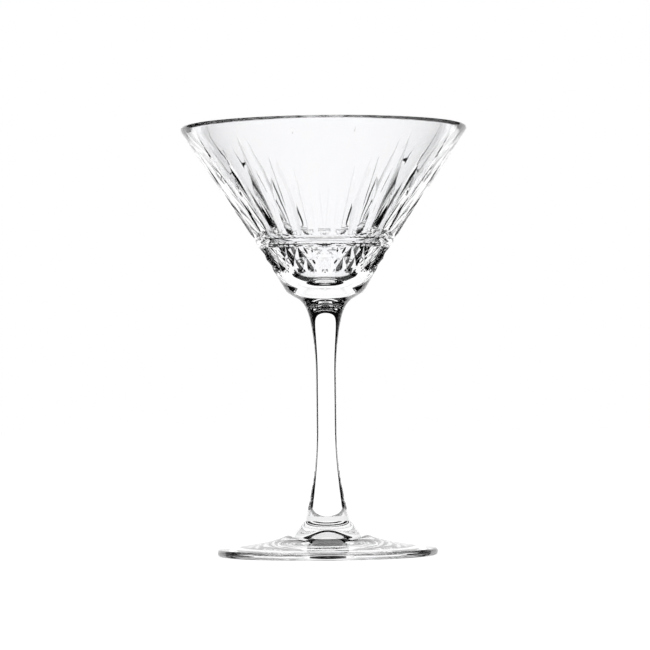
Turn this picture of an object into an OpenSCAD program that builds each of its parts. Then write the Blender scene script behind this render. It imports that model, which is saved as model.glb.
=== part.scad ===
// Martini glass: a pressed bowl and a pressed foot, hot joined to a drawn stem.
// The glass stands on the z = 0 plane, upright on the z axis. All sizes are in millimetres.

/* [Overall] */
// Height from the table to the rim
height = 173.3; // [171.3:1:176.3]
// Widest diameter of the foot
foot_d = 89; // [84:1:94]

/* [Bowl] */
// Height of the join between stem and bowl
bowl_join_z = 103.2; // [102:0.2:104]
// Radius of the rim's outer edge, before it is rounded
rim_edge_r = 58.9; // [58:0.1:60]
// Width of the rim's top edge
rim_wall = 2.7; // [2.6:0.1:3]
// Rounding of the rim's two edges
rim_round = 1.2; // [0.9:0.1:1.2]
// Height where the outside turns from the upper cone to the lower one
bend_z = 123.8; // [123:0.2:124.4]
// Outer radius at that bend
bend_r = 26.1; // [25.8:0.1:26.4]
// Half angle of the lower cone
lower_half = 31.2; // [30.5:0.1:32]
// Slope of the bowl's underside next to the join
under_slope = 31; // [29:0.5:33]
// Rounding between the underside and the lower cone
shoulder_round = 6.6; // [5:0.2:7]
// Radius and height of the slight bend in the inside wall
inner_bend = [31.7, 142];
// Rounding of that bend
inner_round = 250; // [200:10:300]
// Thickness of glass between the join and the inside bottom
base_t = 7.3; // [7:0.1:8]
// Radius where the inside wall would meet the flat inside bottom
well_r = 8.6; // [8.2:0.1:9]
// Rounding of the inside bottom
well_round = 12; // [10:0.5:13]

/* [Cut pattern] */
// Number of flutes, and of diamonds in each row
repeats = 28; // [24:2:32]
// Height of the flutes' round lower ends
flute_low_z = 129.6; // [129.4:0.1:130]
// Height of the long flutes' tips
flute_long_z = 168.6; // [166.6:0.5:169.6]
// Height of the short flutes' tips
flute_short_z = 161.5; // [157:0.5:164]
// Half width of a flute at its lower end
flute_w = 2.6; // [2.4:0.1:3.3]
// Depth of a flute at its lower end
flute_depth = 1.2; // [0.6:0.1:1.2]
// Heights of the two fine ring grooves below the flutes
ring_z = [127.6, 125.2];
// Half width and depth of a ring groove
ring_cut = 0.45; // [0.3:0.05:0.5]
// Height of the diamond band's lower edge
diamond_low_z = 115.4; // [115:0.2:116]
// Depth of the cuts between the diamonds
diamond_cut = 1.1; // [0.8:0.1:1.4]
// Half width of those cuts at the surface
diamond_cut_w = 1.7; // [1.2:0.1:1.8]

/* [Stem] */
// Height of the join between stem and foot
foot_join_z = 14; // [13:0.5:15]
// How far the join with the foot sags at its middle
join_sag = 1.7; // [1:0.1:2]
// Radius of the stem's slim waist
waist_r = 4; // [3.6:0.1:4.6]
// Lower end of the waist
waist_low_z = 52; // [48:1:56]
// Upper end of the waist
waist_top_z = 72; // [68:1:76]
// Radius gained towards the foot, for each square millimetre of height
lower_swell = 0.0036; // [0.0034:0.0001:0.0038]
// Radius gained towards the bowl, for each square millimetre of height
upper_swell = 0.0040; // [0.0038:0.0001:0.0042]
// Radius that the quick flare under the bowl adds at the join
flare_r = 2.5; // [2:0.1:2.8]
// Height over which that flare fades
flare_fade = 2.6; // [2:0.1:3]

/* [Foot] */
// Thickness of the foot's edge
edge_t = 2.7; // [2.6:0.1:3.2]
// Slope of the foot's top near the edge
foot_slope = 0.12; // [0.1:0.01:0.14]
// Distance over which the rise to the stem fades
rise_fade = 6.2; // [5:0.2:7]
// Rounding of the edge's top and bottom
edge_round = 1.2; // [0.9:0.1:1.3]
// Outer and inner radius of the flat ring that touches the table
rest_ring = [41, 38];
// Height of the hollow under the foot
hollow_h = 1.2; // [0.8:0.1:1.6]
// Extra height of the small dome in the middle of that hollow
dome_h = 4.8; // [3:0.2:5.4]
// Radius of the dome
dome_r = 10.5; // [9:0.5:12]

/* [Hidden] */
$fn = 112;

foot_r = foot_d / 2;
well_z = bowl_join_z + base_t;
upper_slope = (rim_edge_r - bend_r) / (height - bend_z);
upper_half = atan(upper_slope);
bowl_join_r = stem_r(bowl_join_z);
foot_join_r = stem_r(foot_join_z);
glass = [0.86, 0.89, 0.92, 0.45];
curve_step = 1 / 24;
overshoot = 1;

// ---- Outlines: [radius, height] points, or [radius, height, rounding] corners ----

function unit(v) = v / norm(v);

// Arc that replaces corner c between its neighbours a and b
function corner_arc(a, c, b, steps = 6) =
    let (
        corner = [c.x, c.y],
        to_a = unit([a.x, a.y] - corner),
        to_b = unit([b.x, b.y] - corner),
        half = acos(to_a * to_b) / 2,
        centre = corner + unit(to_a + to_b) * c.z / sin(half),
        from = corner + to_a * c.z / tan(half) - centre,
        to = corner + to_b * c.z / tan(half) - centre,
        start = atan2(from.y, from.x),
        turn = (atan2(to.y, to.x) - start + 540) % 360 - 180
    )
    [for (i = [0:steps]) centre + c.z * [cos(start + turn * i / steps), sin(start + turn * i / steps)]];

// Outline with every corner that has a rounding turned into an arc
function rounded(corners) = [
    for (i = [0:len(corners) - 1])
        let (c = corners[i])
        each is_undef(c.z)
            ? [c]
            : corner_arc(corners[i - 1], c, corners[i + 1])
];

function upper_cone_r(z) = rim_edge_r - (height - z) * upper_slope;
function lower_cone_r(z) = bend_r - (bend_z - z) * tan(lower_half);

// Stem radius: a straight waist that swells both ways and flares under the bowl
function stem_r(z) =
    waist_r
    + lower_swell * pow(max(0, waist_low_z - z), 2)
    + upper_swell * pow(max(0, z - waist_top_z), 2)
    + flare_r * exp((z - bowl_join_z) / flare_fade);

// Join between stem and foot: a shallow dish that both of them share
function foot_join(r) = foot_join_z - join_sag * (1 - pow(r / foot_join_r, 2));
foot_join_curve = [for (t = [0:0.125:1]) [t * foot_join_r, foot_join(t * foot_join_r)]];

// Top of the foot: a gentle slope from the edge and a quick rise to the stem
function foot_plain_z(r) = edge_t + foot_slope * (foot_r - r);
function foot_top_z(r) =
    foot_plain_z(r)
    + (foot_join_z - foot_plain_z(foot_join_r)) * exp((foot_join_r - r) / rise_fade);

// Underside of the foot: a shallow hollow with a dome in its middle
function hollow_z(r) =
    hollow_h * (1 - 0.3 * r / (rest_ring[1] - 3))
    + dome_h * pow(cos(90 * min(1, r / dome_r)), 2);

// Corner where the underside's slope would meet the lower cone
shoulder_z =
    (bowl_join_z + tan(under_slope) * (bend_r - bend_z * tan(lower_half) - bowl_join_r))
    / (1 - tan(under_slope) * tan(lower_half));

function ring_groove(z) = [
    [upper_cone_r(z - ring_cut), z - ring_cut],
    [upper_cone_r(z) - ring_cut, z],
    [upper_cone_r(z + ring_cut), z + ring_cut]
];

// ---- Sub-parts ----

module bowl_blank() {
    rotate_extrude()
        polygon(rounded(concat(
            [
                [0, bowl_join_z],
                [bowl_join_r, bowl_join_z],
                [lower_cone_r(shoulder_z), shoulder_z, shoulder_round],
                [bend_r, bend_z]
            ],
            ring_groove(ring_z[1]),
            ring_groove(ring_z[0]),
            [
                [rim_edge_r, height, rim_round],
                [rim_edge_r - rim_wall, height, rim_round],
                [inner_bend.x, inner_bend.y, inner_round],
                [well_r, well_z, well_round],
                [0, well_z]
            ]
        )));
}

// Long bar with a vee-shaped section: its sharp edge lies on the z axis and it opens towards x
module vee_bar(length, depth, half_w) {
    reach = depth + overshoot;
    spread = half_w * reach / depth;
    linear_extrude(length)
        polygon([[0, 0], [reach, -spread], [reach, spread]]);
}

// Cutter that starts deep at the flute's lower end and leaves the wall at its tip
module flute_cutter(tip_z) {
    out = [cos(upper_half), -sin(upper_half)];
    low = [upper_cone_r(flute_low_z), flute_low_z] - out * flute_depth;
    tip = [upper_cone_r(tip_z), tip_z];
    lean = atan2(tip.x - low.x, tip.y - low.y);
    translate([low.x, 0, low.y])
        rotate([0, lean, 0])
            vee_bar(norm(tip - low) + overshoot, flute_depth, flute_w);
}

module flutes() {
    for (i = [0:repeats - 1])
        rotate([0, 0, i * 360 / repeats])
            flute_cutter(i % 2 == 0 ? flute_long_z : flute_short_z);
}

// Cutter that lies on the lower cone and crosses the diamond band on a slant
module diamond_cutter(side) {
    mid_z = (bend_z + diamond_low_z) / 2;
    mid_r = lower_cone_r(mid_z);
    slant_h = (bend_z - diamond_low_z) / cos(lower_half);
    pitch = 2 * PI * mid_r / repeats;
    bar = norm([slant_h, pitch]);
    translate([mid_r, 0, mid_z])
        rotate([0, lower_half, 0])
            rotate([side * atan(pitch / slant_h), 0, 0])
                translate([-diamond_cut, 0, -bar / 2])
                    vee_bar(bar, diamond_cut, diamond_cut_w);
}

module diamonds() {
    for (i = [0:repeats - 1])
        rotate([0, 0, (i + 0.5) * 360 / repeats])
            for (side = [-1, 1])
                diamond_cutter(side);
}

module bowl() {
    color(glass)
        difference() {
            bowl_blank();
            flutes();
            diamonds();
        }
}

module stem() {
    stem_h = bowl_join_z - foot_join_z;
    color(glass)
        rotate_extrude()
            polygon(concat(
                foot_join_curve,
                [
                    for (t = [curve_step:curve_step:1 - curve_step / 2])
                        let (z = foot_join_z + stem_h * t)
                        [stem_r(z), z]
                ],
                [[bowl_join_r, bowl_join_z], [0, bowl_join_z]]
            ));
}

module foot() {
    top_run = foot_r - foot_join_r;
    color(glass)
        rotate_extrude()
            polygon(concat(
                foot_join_curve,
                [
                    for (t = [curve_step:curve_step:1 - 2 * curve_step])
                        let (r = foot_join_r + top_run * t)
                        [r, foot_top_z(r)]
                ],
                rounded([
                    [foot_r - edge_t, foot_top_z(foot_r - edge_t)],
                    [foot_r, foot_top_z(foot_r), edge_round],
                    [foot_r, 0, edge_round],
                    [rest_ring[0], 0]
                ]),
                [
                    [rest_ring[1], 0],
                    [rest_ring[1] - 3, hollow_z(rest_ring[1] - 3)]
                ],
                [for (t = [1:-0.125:0]) [t * dome_r, hollow_z(t * dome_r)]]
            ));
}

bowl();
stem();
foot();
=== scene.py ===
"""Martini glass: a pressed bowl, a drawn stem and a pressed foot, all of clear glass.

Lengths are in metres. MM turns millimetres into metres.
"""

import math

import bpy
from mathutils import Matrix, Vector


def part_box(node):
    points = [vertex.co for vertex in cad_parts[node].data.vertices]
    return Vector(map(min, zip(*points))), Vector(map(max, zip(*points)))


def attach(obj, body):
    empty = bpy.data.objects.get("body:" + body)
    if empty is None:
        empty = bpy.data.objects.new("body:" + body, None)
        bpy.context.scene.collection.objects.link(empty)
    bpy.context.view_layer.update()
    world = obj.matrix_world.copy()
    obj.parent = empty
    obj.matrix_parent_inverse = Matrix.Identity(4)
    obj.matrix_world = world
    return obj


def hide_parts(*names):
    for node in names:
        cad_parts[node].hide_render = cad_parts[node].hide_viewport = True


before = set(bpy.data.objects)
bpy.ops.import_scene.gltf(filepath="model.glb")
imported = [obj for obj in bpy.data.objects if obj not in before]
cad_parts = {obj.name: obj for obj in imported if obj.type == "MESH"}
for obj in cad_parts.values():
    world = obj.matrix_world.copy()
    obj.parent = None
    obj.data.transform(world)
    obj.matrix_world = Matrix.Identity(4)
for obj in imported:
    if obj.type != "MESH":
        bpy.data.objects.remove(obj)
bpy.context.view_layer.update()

MM = 0.001
WHITE = (1, 1, 1, 1)

# ---- Driving sizes, the same as the CAD model's ----

JOIN_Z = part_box("bowl")[0][2]
RIM_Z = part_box("bowl")[1][2]
FOOT_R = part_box("foot")[1][0]

RIM_EDGE_R = 58.9 * MM
RIM_WALL = 2.7 * MM
RIM_ROUND = 1.2 * MM
BEND_Z = 123.8 * MM
BEND_R = 26.1 * MM
LOWER_SLOPE = math.tan(math.radians(31.2))
UPPER_SLOPE = (RIM_EDGE_R - BEND_R) / (RIM_Z - BEND_Z)
UNDER_SLOPE = math.tan(math.radians(31))
SHOULDER_ROUND = 6.6 * MM
INNER_BEND = (31.7 * MM, 142 * MM)
INNER_ROUND = 250 * MM
WELL_Z = JOIN_Z + 7.3 * MM
WELL_R = 8.6 * MM
WELL_ROUND = 12 * MM

FOOT_JOIN_Z = 14 * MM
JOIN_SAG = 1.7 * MM
WAIST_R = 4 * MM
WAIST_LOW_Z = 52 * MM
WAIST_TOP_Z = 72 * MM
LOWER_SWELL = 3.6
UPPER_SWELL = 4.0
FLARE_R = 2.5 * MM
FLARE_FADE = 2.6 * MM

EDGE_T = 2.7 * MM
EDGE_ROUND = 1.2 * MM
FOOT_SLOPE = 0.12
RISE_FADE = 6.2 * MM
REST_OUT_R = 41 * MM
REST_IN_R = 38 * MM
HOLLOW_R = REST_IN_R - 3 * MM
HOLLOW_H = 1.2 * MM
HOLLOW_FALL = 0.3
DOME_H = 4.8 * MM
DOME_R = 10.5 * MM

# ---- The pressed pattern ----

REPEATS = 28
RING_ZS = (127.5 * MM, 125.1 * MM)
RING_HALF = 0.6 * MM
RING_DEPTH = 0.5 * MM
DIAMOND_LOW_Z = 115.4 * MM
DIAMOND_DEPTH = 1.1 * MM
# The diamonds fade out over this height below the band.
DIAMOND_FADE = 2 * MM
RUN_OUT_Z = DIAMOND_LOW_Z - DIAMOND_FADE

FLUTE_LOW_Z = 128.2 * MM
# Height of a flute's round lower end
FLUTE_END = 3 * MM
# A flute keeps its full width up to here, and then narrows to its tip.
FLUTE_BELLY_Z = 138 * MM
# The tips of the long and the short flutes
FLUTE_TIPS = (168.6 * MM, 161.5 * MM)
FLUTE_DEPTH = 1.2 * MM
# 1 would make a flute's section a straight vee, 2 a round hollow.
FLUTE_SHAPE = 1.15
# Share of its repeat that a flute takes up where it is widest
FLUTE_FILL = 0.78

# ---- Mesh steps ----

HALF_STEPS = 12
COLUMNS = REPEATS * 2 * HALF_STEPS
STEM_COLUMNS = 128
FOOT_COLUMNS = 256
# This share of a repeat's columns goes inside its flute. Where there is no flute, they are even.
EVEN_FILL = 0.7
# Where a flute is narrower than this share of its repeat, its columns close in no further.
LEAST_FILL = 0.05
# The columns spread out evenly over this height below the flutes.
SPREAD_H = 1 * MM
# Above this height they are even again.
PLAIN_Z = 170.4 * MM
# Gap between the band's last ring of points and the next one
LEDGE = 0.3 * MM
# The rings of the inside bottom run in towards this radius, all but the axis.
BOTTOM_END_R = 0.001 * MM
# Radius of the first ring in the foot's dome
DOME_START_R = 0.3 * MM
# Edges between faces that turn by more than this stay sharp.
SHARP_ANGLE = math.radians(6.5)


# ---- Outlines: (radius, height) points ----

def corner_arc(before, corner, after, radius, steps=8):
    """Points on the arc that rounds a corner between its two neighbours."""
    a, c, b = Vector(before), Vector(corner), Vector(after)
    to_a = (a - c).normalized()
    to_b = (b - c).normalized()
    half = to_a.angle(to_b) / 2
    centre = c + (to_a + to_b).normalized() * radius / math.sin(half)
    start = c + to_a * radius / math.tan(half) - centre
    end = c + to_b * radius / math.tan(half) - centre
    turn = start.angle_signed(end)
    points = []
    for i in range(steps + 1):
        angle = -turn * i / steps
        spin_x = start.x * math.cos(angle) - start.y * math.sin(angle)
        spin_y = start.x * math.sin(angle) + start.y * math.cos(angle)
        points.append((centre.x + spin_x, centre.y + spin_y))
    return points


def between(start, end, steps):
    """Evenly spaced points from start up to, but without, end."""
    a, b = Vector(start), Vector(end)
    return [tuple(a.lerp(b, i / steps)) for i in range(steps)]


def eased(start, end, steps=4):
    """Points from start up to, but without, end.

    They crowd at both ends, so that the wall shades flat.
    """
    a, b = Vector(start), Vector(end)
    return [tuple(a.lerp(b, 0.5 - 0.5 * math.cos(math.pi * i / steps))) for i in range(steps)]


def heights(low, high, steps):
    """Evenly spaced numbers from low up to, but without, high."""
    return [low + (high - low) * i / steps for i in range(steps)]


def upper_cone_r(z):
    """Radius of the bowl's outside above the bend, before it is cut."""
    return RIM_EDGE_R - (RIM_Z - z) * UPPER_SLOPE


def lower_cone_r(z):
    """Radius of the bowl's outside below the bend, before it is cut."""
    return BEND_R - (BEND_Z - z) * LOWER_SLOPE


def stem_r(z):
    """A straight waist that swells both ways and flares under the bowl."""
    low = max(0, WAIST_LOW_Z - z)
    top = max(0, z - WAIST_TOP_Z)
    flare = FLARE_R * math.exp((z - JOIN_Z) / FLARE_FADE)
    return WAIST_R + LOWER_SWELL * low ** 2 + UPPER_SWELL * top ** 2 + flare


BOWL_JOIN_R = stem_r(JOIN_Z)
FOOT_JOIN_R = stem_r(FOOT_JOIN_Z)


def foot_join_z(r):
    """The dished join that stem and foot share."""
    return FOOT_JOIN_Z - JOIN_SAG * (1 - (r / FOOT_JOIN_R) ** 2)


def join_curve(steps=8):
    """Points on that join, from near the axis out to its edge."""
    radii = [FOOT_JOIN_R * (i + 1) / steps for i in range(steps)]
    return [(r, foot_join_z(r)) for r in radii]


def foot_top_z(r):
    """A gentle slope from the edge and a quick rise to the stem."""
    plain = EDGE_T + FOOT_SLOPE * (FOOT_R - r)
    rise = FOOT_JOIN_Z - EDGE_T - FOOT_SLOPE * (FOOT_R - FOOT_JOIN_R)
    return plain + rise * math.exp((FOOT_JOIN_R - r) / RISE_FADE)


def hollow_z(r):
    """The underside of the foot: a shallow hollow with a small dome in its middle."""
    dome = DOME_H * math.cos(math.pi / 2 * min(1, r / DOME_R)) ** 2
    return HOLLOW_H * (1 - HOLLOW_FALL * r / HOLLOW_R) + dome


# ---- The bowl, ring by ring ----

def ramp(value, low, high):
    """0 at low, 1 at high, straight in between."""
    return min(1, max(0, (value - low) / (high - low)))


def flute_fill(z, tip):
    """Share of its repeat that a flute takes up at height z."""
    if z < FLUTE_LOW_Z + FLUTE_END:
        back = 1 - ramp(z, FLUTE_LOW_Z, FLUTE_LOW_Z + FLUTE_END)
        return FLUTE_FILL * math.sqrt(1 - back ** 2)
    return FLUTE_FILL * (1 - ramp(z, FLUTE_BELLY_Z, tip))


def ring_dip(z):
    """Depth of the two ring grooves."""
    dip = 0
    for ring in RING_ZS:
        off = abs(z - ring) / RING_HALF
        if off < 1:
            dip += RING_DEPTH * (0.5 + 0.5 * math.cos(math.pi * off))
    return dip


def diamond_dip(x, z):
    """Depth between crossing vee cuts. x runs from -1 to 1 across a repeat."""
    half = (BEND_Z - DIAMOND_LOW_Z) / 2
    level = min(1, abs(z - BEND_Z + half) / half)
    run_out = 0.5 + 0.5 * math.cos(math.pi * ramp(DIAMOND_LOW_Z - z, 0, DIAMOND_FADE))
    return DIAMOND_DEPTH * run_out * (1 - abs(1 - abs(x) - level))


def column_place(step, fill=EVEN_FILL):
    """Place across the repeat, -1 to 1, of a mesh column, so that columns follow the flute's edge."""
    x = step / HALF_STEPS - 1
    if abs(x) <= EVEN_FILL:
        return x / EVEN_FILL * fill
    rest = (abs(x) - EVEN_FILL) / (1 - EVEN_FILL)
    return math.copysign(fill + (1 - fill) * rest, x)


def ring_of_points(radii, places, z):
    """A closed ring of points, one per mesh column.

    places(repeat, step) gives a column's place across its repeat, and radii(repeat, place) its radius.
    """
    ring = []
    for column in range(COLUMNS):
        repeat, step = divmod(column, 2 * HALF_STEPS)
        x = places(repeat, step)
        angle = (repeat + x / 2) * math.tau / REPEATS
        r = radii(repeat, x)
        ring.append((r * math.cos(angle), r * math.sin(angle), z))
    return ring


def plain_ring(r, z):
    """A round ring of points."""
    return ring_of_points(lambda repeat, x: r, lambda repeat, step: column_place(step), z)


def diamond_ring(z):
    """A ring of points through the diamond band."""
    radius = lower_cone_r(z)
    return ring_of_points(
        lambda repeat, x: radius - diamond_dip(x, z),
        lambda repeat, step: column_place(step),
        z,
    )


def flute_ring(z):
    """A ring of points through the ring grooves and flutes. Long and short flutes take turns."""
    fills = [flute_fill(z, tip) for tip in FLUTE_TIPS]
    spread = ramp(FLUTE_LOW_Z - z, 0, SPREAD_H)
    edge = upper_cone_r(z) - ring_dip(z)

    def radii(repeat, x):
        fill = fills[repeat % 2]
        if fill <= 0 or abs(x) >= fill:
            return edge
        return edge - FLUTE_DEPTH * (fill / FLUTE_FILL) * (1 - abs(x / fill) ** FLUTE_SHAPE)

    def places(repeat, step):
        above = ramp(z, FLUTE_TIPS[repeat % 2], PLAIN_Z)
        least = LEAST_FILL + (EVEN_FILL - LEAST_FILL) * max(spread, above)
        return column_place(step, max(fills[repeat % 2], least))

    return ring_of_points(radii, places, z)


def plain_rows(outline):
    """Round rings of points along an outline."""
    return [plain_ring(r, z) for r, z in outline]


def shoulder_rows():
    """Rings from the join, round the shoulder, to where the diamonds run out."""
    shoulder_z = (
        JOIN_Z + UNDER_SLOPE * (BEND_R - BEND_Z * LOWER_SLOPE - BOWL_JOIN_R)
    ) / (1 - UNDER_SLOPE * LOWER_SLOPE)
    join = (BOWL_JOIN_R, JOIN_Z)
    shoulder = (lower_cone_r(shoulder_z), shoulder_z)
    run_out = (lower_cone_r(RUN_OUT_Z), RUN_OUT_Z)
    arc = corner_arc(join, shoulder, run_out, SHOULDER_ROUND)
    return plain_rows(eased(join, arc[0]) + arc + eased(arc[-1], run_out)[1:])


def flute_rows():
    """Rings from just above the bend, through the grooves and the flutes, to the plain wall."""
    round_end_z = FLUTE_LOW_Z + FLUTE_END
    levels = heights(BEND_Z + LEDGE, FLUTE_LOW_Z, steps=19)
    levels += heights(FLUTE_LOW_Z, round_end_z, steps=8)
    levels += heights(round_end_z, FLUTE_TIPS[0], steps=16)
    levels += heights(FLUTE_TIPS[0], PLAIN_Z, steps=3)
    return [flute_ring(z) for z in levels]


def inside_rows():
    """Rings over the rim, down the inside wall and in across the inside bottom."""
    below_rim = (upper_cone_r(FLUTE_TIPS[0]), FLUTE_TIPS[0])
    outer = (RIM_EDGE_R, RIM_Z)
    inner = (RIM_EDGE_R - RIM_WALL, RIM_Z)
    well = (WELL_R, WELL_Z)
    outer_arc = corner_arc(below_rim, outer, inner, RIM_ROUND, steps=20)
    inner_arc = corner_arc(outer, inner, INNER_BEND, RIM_ROUND)
    bend_arc = corner_arc(inner, INNER_BEND, well, INNER_ROUND, steps=4)
    well_arc = corner_arc(INNER_BEND, well, (0, WELL_Z), WELL_ROUND, steps=12)
    outline = outer_arc + inner_arc
    outline += eased(inner_arc[-1], bend_arc[0])[1:] + bend_arc
    outline += eased(bend_arc[-1], well_arc[0])[1:] + well_arc
    outline += eased(well_arc[-1], (BOTTOM_END_R, WELL_Z))[1:]
    return plain_rows(outline)


# ---- Meshes ----

def new_object(name, points, faces):
    """A mesh object in the scene."""
    mesh = bpy.data.meshes.new(name)
    mesh.from_pydata(points, [], faces)
    thing = bpy.data.objects.new(name, mesh)
    bpy.context.scene.collection.objects.link(thing)
    return thing


def closed_skin(name, rows, ends, creased=None):
    """Closed mesh through rings of points. It closes onto the axis at the two heights in ends.

    creased(row, column) says how a cell is split into two triangles, or is None for whole cells.
    """
    count = len(rows[0])
    points = [p for row in rows for p in row]
    faces = []
    for i in range(len(rows) - 1):
        for j in range(count):
            a = i * count + j
            b = i * count + (j + 1) % count
            c = b + count
            d = a + count
            lean = creased(i, j) if creased else None
            if lean is None:
                faces.append((a, b, c, d))
            elif lean:
                faces += [(a, b, c), (a, c, d)]
            else:
                faces += [(a, b, d), (b, c, d)]
    low = len(points)
    points += [(0, 0, z) for z in ends]
    last = (len(rows) - 1) * count
    for j in range(count):
        k = (j + 1) % count
        faces.append((low, k, j))
        faces.append((low + 1, last + j, last + k))
    piece = new_object(name, points, faces)
    piece.data.shade_smooth()
    piece.data.set_sharp_from_angle(angle=SHARP_ANGLE)
    return piece


def lathe_rows(outline, columns):
    """Evenly divided rings of points along an outline."""
    rows = []
    for r, z in outline:
        ring = []
        for j in range(columns):
            angle = math.tau * j / columns
            ring.append((r * math.cos(angle), r * math.sin(angle), z))
        rows.append(ring)
    return rows


def make_bowl():
    """The skin runs from the join, up the outside, over the rim and down the inside."""
    rows = shoulder_rows()
    rows += [diamond_ring(z) for z in heights(RUN_OUT_Z, DIAMOND_LOW_Z, steps=4)]
    first = len(rows)
    rows += [diamond_ring(z) for z in heights(DIAMOND_LOW_Z, BEND_Z, steps=2 * HALF_STEPS)]
    last = len(rows)
    rows += [diamond_ring(BEND_Z)] + flute_rows() + inside_rows()

    def creased(row, column):
        """Splits the band's cells along the slanting edges of its diamonds."""
        if not first <= row < last:
            return None
        upper = row - first >= HALF_STEPS
        right = column % (2 * HALF_STEPS) >= HALF_STEPS
        return upper != right

    return closed_skin("pressed_bowl", rows, (JOIN_Z, WELL_Z), creased)


def make_stem():
    """The skin runs from the dished join with the foot up to the flat one with the bowl."""
    side = [(stem_r(z), z) for z in heights(FOOT_JOIN_Z, JOIN_Z, steps=96)[1:]]
    outline = join_curve() + side + [(BOWL_JOIN_R, JOIN_Z)]
    return closed_skin("drawn_stem", lathe_rows(outline, STEM_COLUMNS), (foot_join_z(0), JOIN_Z))


def make_foot():
    """The skin runs from the dome, out along the underside, round the edge and in over the top."""
    slope_r = FOOT_R - EDGE_T
    on_slope = (slope_r, foot_top_z(slope_r))
    low_corner = (FOOT_R, 0)
    top_corner = (FOOT_R, foot_top_z(FOOT_R))
    outline = [(r, hollow_z(r)) for r in heights(DOME_START_R, DOME_R, steps=24)]
    outline += [(r, hollow_z(r)) for r in heights(DOME_R, HOLLOW_R, steps=8)]
    outline += between((HOLLOW_R, hollow_z(HOLLOW_R)), (REST_IN_R, 0), steps=4)
    outline += between((REST_IN_R, 0), (REST_OUT_R, 0), steps=3)
    outline += corner_arc((REST_OUT_R, 0), low_corner, top_corner, EDGE_ROUND, steps=20)
    outline += corner_arc(low_corner, top_corner, on_slope, EDGE_ROUND, steps=20)
    outline += [(r, foot_top_z(r)) for r in heights(slope_r, FOOT_JOIN_R, steps=60)]
    outline += reversed(join_curve())
    return closed_skin("pressed_foot", lathe_rows(outline, FOOT_COLUMNS), (hollow_z(0), foot_join_z(0)))


# ---- Materials ----

GLASS_IOR = 1.5
GLASS_TINT = (0.982, 0.984, 1, 1)
WAVE_SCALE = 90
WAVE_HEIGHT = 0.05 * MM
# The waves run from 0 to 1. Above this level the glass is slightly rough, up to MOST_ROUGH.
ROUGH_FROM = 0.5
MOST_ROUGH = 0.02
# Points this near a join lie on it.
TOUCH = 0.001 * MM


def new_material(name):
    """A material with nodes, and its shader."""
    material = bpy.data.materials.new(name)
    material.use_nodes = True
    return material, material.node_tree.nodes["Principled BSDF"]


def glass_material(name):
    """Clear soda-lime glass with the faint waves and the faint cool tint that pressing leaves."""
    material, shader = new_material(name)
    nodes = material.node_tree.nodes
    links = material.node_tree.links
    shader.inputs["Transmission Weight"].default_value = 1
    shader.inputs["IOR"].default_value = GLASS_IOR

    place = nodes.new("ShaderNodeTexCoord")
    waves = nodes.new("ShaderNodeTexNoise")
    waves.inputs["Scale"].default_value = WAVE_SCALE
    waves.inputs["Detail"].default_value = 1
    links.new(place.outputs["Object"], waves.inputs["Vector"])

    tint = nodes.new("ShaderNodeMix")
    tint.data_type = "RGBA"
    tint.inputs["A"].default_value = WHITE
    tint.inputs["B"].default_value = GLASS_TINT
    links.new(waves.outputs["Fac"], tint.inputs["Factor"])
    links.new(tint.outputs["Result"], shader.inputs["Base Color"])

    gloss = nodes.new("ShaderNodeMapRange")
    gloss.inputs["From Min"].default_value = ROUGH_FROM
    gloss.inputs["To Min"].default_value = 0
    gloss.inputs["To Max"].default_value = MOST_ROUGH
    links.new(waves.outputs["Fac"], gloss.inputs["Value"])
    links.new(gloss.outputs["Result"], shader.inputs["Roughness"])

    bump = nodes.new("ShaderNodeBump")
    bump.inputs["Strength"].default_value = 1
    bump.inputs["Distance"].default_value = WAVE_HEIGHT
    links.new(waves.outputs["Fac"], bump.inputs["Height"])
    links.new(bump.outputs["Normal"], shader.inputs["Normal"])
    return material


def join_material():
    """The faces where two pieces are fused. There is no air between them, so light passes straight on."""
    material, shader = new_material("fused_join")
    shader.inputs["Alpha"].default_value = 0
    return material


def emission_material(name, grey, strength):
    """A dull grey surface that glows white."""
    material, shader = new_material(name)
    shader.inputs["Base Color"].default_value = (grey, grey, grey, 1)
    shader.inputs["Roughness"].default_value = 1
    shader.inputs["Specular IOR Level"].default_value = 0
    shader.inputs["Emission Color"].default_value = WHITE
    shader.inputs["Emission Strength"].default_value = strength
    return material


def on_join(face, vertices):
    """True if a face lies on one of the two fused joins."""
    spots = [vertices[i].co for i in face.vertices]
    flat_top = all(abs(p.z - JOIN_Z) < TOUCH for p in spots)
    dish = all(abs(p.z - foot_join_z(p.xy.length)) < TOUCH for p in spots)
    return flat_top or dish


def give(piece, glass, fused, *nodes):
    """Finishes a piece: its materials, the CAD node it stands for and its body."""
    piece.data.materials.append(glass)
    piece.data.materials.append(fused)
    for face in piece.data.polygons:
        if on_join(face, piece.data.vertices):
            face.material_index = 1
    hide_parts(*nodes)
    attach(piece, "root")


# ---- Studio ----

# Strength of the room's light for rays that cross the glass. The camera sees it at full strength.
ROOM = 0.003
FLOOR_HALF = 4
FLOOR_GREY = 0.3
FLOOR_STRENGTH = 0.85

CAMERA_PLACE = (-0.0002, -1.334, 0.066)
CAMERA_AIM = (-0.0002, 0, 0.093)
CAMERA_ROLL = math.radians(-0.6)
LENS = 182.8
SENSOR = 36

OVAL_POINTS = 48
BACK_PLACE = (0, 1, -0.06)
BACK_HALF_W = 1.05
BACK_HALF_H = 0.66
BACK_STRENGTH = 1.16
# The side lamps stand this far from the bowl, turned to each side of the view and dropped below level.
SIDE_AWAY = 1
SIDE_TURN = math.radians(60)
SIDE_DROP = math.radians(15)
SIDE_HALF_W = 0.12
SIDE_HALF_H = 0.1
SIDE_STRENGTH = 0.7
GLOW_Z = -1 * MM
GLOW_R = 40 * MM
GLOW_STRENGTH = 0.95

BOUNCES = 32


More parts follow.
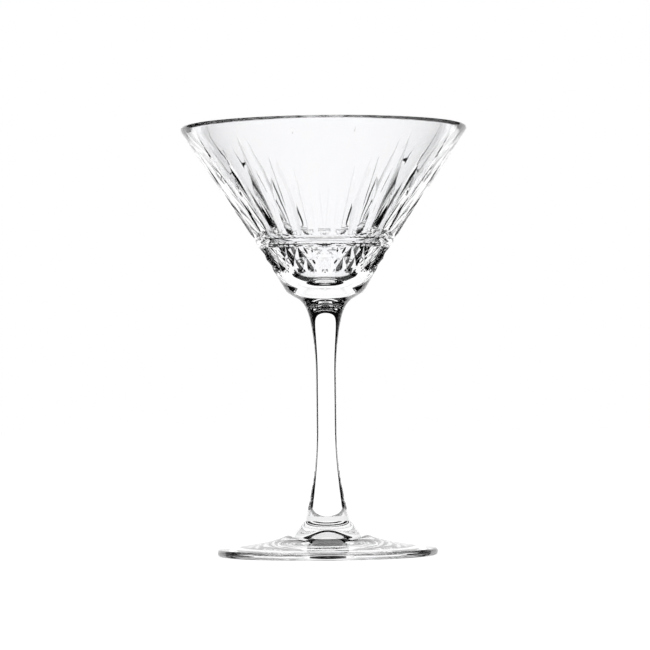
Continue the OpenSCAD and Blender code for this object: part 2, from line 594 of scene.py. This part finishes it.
def make_world():
    """A room that is white to the camera and on the table, and almost black through the glass."""
    world = bpy.data.worlds.new("white_studio")
    bpy.context.scene.world = world
    world.use_nodes = True
    nodes = world.node_tree.nodes
    links = world.node_tree.links
    backdrop = nodes["Background"]
    backdrop.inputs["Color"].default_value = WHITE
    rays = nodes.new("ShaderNodeLightPath")
    open_rays = nodes.new("ShaderNodeMath")
    open_rays.operation = "MAXIMUM"
    links.new(rays.outputs["Is Camera Ray"], open_rays.inputs[0])
    links.new(rays.outputs["Is Diffuse Ray"], open_rays.inputs[1])
    level = nodes.new("ShaderNodeMapRange")
    level.inputs["To Min"].default_value = ROOM
    level.inputs["To Max"].default_value = 1
    links.new(open_rays.outputs[0], level.inputs["Value"])
    links.new(level.outputs["Result"], backdrop.inputs["Strength"])


def make_floor():
    """A plain pale table that the glass doesn't mirror."""
    corners = [(x * FLOOR_HALF, y * FLOOR_HALF, 0) for x, y in ((-1, -1), (1, -1), (1, 1), (-1, 1))]
    floor = new_object("floor", corners, [(0, 1, 2, 3)])
    floor.data.materials.append(emission_material("white_table", FLOOR_GREY, FLOOR_STRENGTH))
    floor.visible_transmission = False
    floor.visible_glossy = False


def make_camera():
    """Looks along +Y, and slightly up, from a little under mid height."""
    data = bpy.data.cameras.new("camera")
    data.lens = LENS
    data.sensor_width = SENSOR
    camera = bpy.data.objects.new("camera", data)
    bpy.context.scene.collection.objects.link(camera)
    place = Vector(CAMERA_PLACE)
    turn = (Vector(CAMERA_AIM) - place).to_track_quat("-Z", "Y").to_matrix().to_4x4()
    roll = Matrix.Rotation(CAMERA_ROLL, 4, "Z")
    camera.matrix_world = Matrix.Translation(place) @ turn @ roll
    bpy.context.scene.camera = camera


def lit_oval(name, centre, across, along, strength):
    """A lit oval that only the glass sees. across and along are its half axes."""
    centre, across, along = Vector(centre), Vector(across), Vector(along)
    points = []
    for i in range(OVAL_POINTS):
        turn = math.tau * i / OVAL_POINTS
        points.append(centre + across * math.cos(turn) + along * math.sin(turn))
    oval = new_object(name, points, [tuple(range(OVAL_POINTS))])
    oval.data.materials.append(emission_material(name, 0, strength))
    oval.visible_camera = False
    oval.visible_diffuse = False
    oval.visible_shadow = False
    return oval


def hold(lamp):
    """Keeps a lamp in its place around the camera."""
    bpy.context.view_layer.update()
    camera = bpy.context.scene.camera
    lamp.parent = camera
    lamp.matrix_parent_inverse = camera.matrix_world.inverted()


def place_backlight():
    """The large lamp behind the glass."""
    hold(lit_oval("backlight", BACK_PLACE, (BACK_HALF_W, 0, 0), (0, 0, BACK_HALF_H), BACK_STRENGTH))


def place_side_lights():
    """Two small low lamps beside the backlight, which bring out the facets of the diamond band."""
    level = math.cos(SIDE_DROP)
    for name, side in (("left_light", -1), ("right_light", 1)):
        turn = side * SIDE_TURN
        ahead = Vector((math.sin(turn) * level, math.cos(turn) * level, -math.sin(SIDE_DROP)))
        across = Vector((math.cos(turn), -math.sin(turn), 0))
        along = ahead.cross(across)
        centre = ahead * SIDE_AWAY + Vector((0, 0, BEND_Z))
        hold(lit_oval(name, centre, across * SIDE_HALF_W, along * SIDE_HALF_H, SIDE_STRENGTH))


def place_table_glow():
    """The part of a white table that glows up into the foot."""
    lit_oval("table_glow", (0, 0, GLOW_Z), (GLOW_R, 0, 0), (0, GLOW_R, 0), GLOW_STRENGTH)


def set_scene():
    """Plain colours, and enough bounces for light to cross every wall of the glass."""
    scene = bpy.context.scene
    scene.view_settings.view_transform = "Standard"
    scene.cycles.max_bounces = BOUNCES
    scene.cycles.transmission_bounces = BOUNCES
    scene.cycles.glossy_bounces = BOUNCES
    scene.cycles.transparent_max_bounces = BOUNCES


# ---- The whole scene ----

clear_glass = glass_material("clear_glass")
fused_join = join_material()
give(make_bowl(), clear_glass, fused_join, "bowl")
give(make_stem(), clear_glass, fused_join, "stem")
give(make_foot(), clear_glass, fused_join, "foot")

make_world()
make_floor()
make_camera()
place_backlight()
place_side_lights()
place_table_glow()
set_scene()
